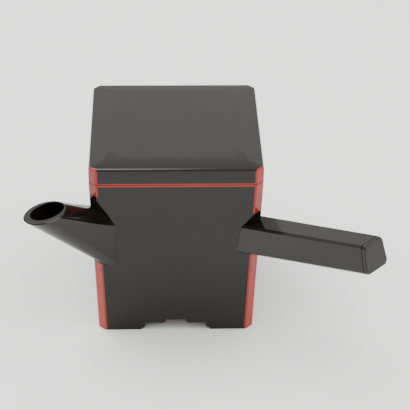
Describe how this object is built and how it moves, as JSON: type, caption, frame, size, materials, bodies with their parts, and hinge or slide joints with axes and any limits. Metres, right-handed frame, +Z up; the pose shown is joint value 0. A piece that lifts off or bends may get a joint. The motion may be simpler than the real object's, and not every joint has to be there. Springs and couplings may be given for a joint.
{
  "type": "lacquer teapot",
  "caption": "Square tapered lacquered hot-water pot with a lift-off lid, a corner spout and a square corner handle.",
  "frame": {"origin": "middle of the whole object's footprint, on the surface it stands on", "axes": "+Z up, -Y towards the front face, +X towards the handle's side"},
  "size_m": [0.212, 0.1748, 0.1249],
  "materials": {
    "black_lacquer": "polished black lacquer",
    "red_lacquer": "polished vermilion lacquer",
    "steel": "stainless",
    "packing": "matt rubber"
  },
  "bodies": {
    "pot": {"body_shell": "black_lacquer", "bottom_board": "red_lacquer", "spout_shell": "black_lacquer", "handle_bar": "black_lacquer", "handle_end_cap": "black_lacquer", "handle_bolt": "steel", "handle_washer": "packing"},
    "lid": {"lid_cover": "black_lacquer", "lid_rim": "red_lacquer"}
  },
  "joints": [
    {"name": "lid_lift", "type": "slide", "parent": "pot", "child": "lid", "axis": [0, 0, 1], "range_m": [0, 0.06]}
  ]
}
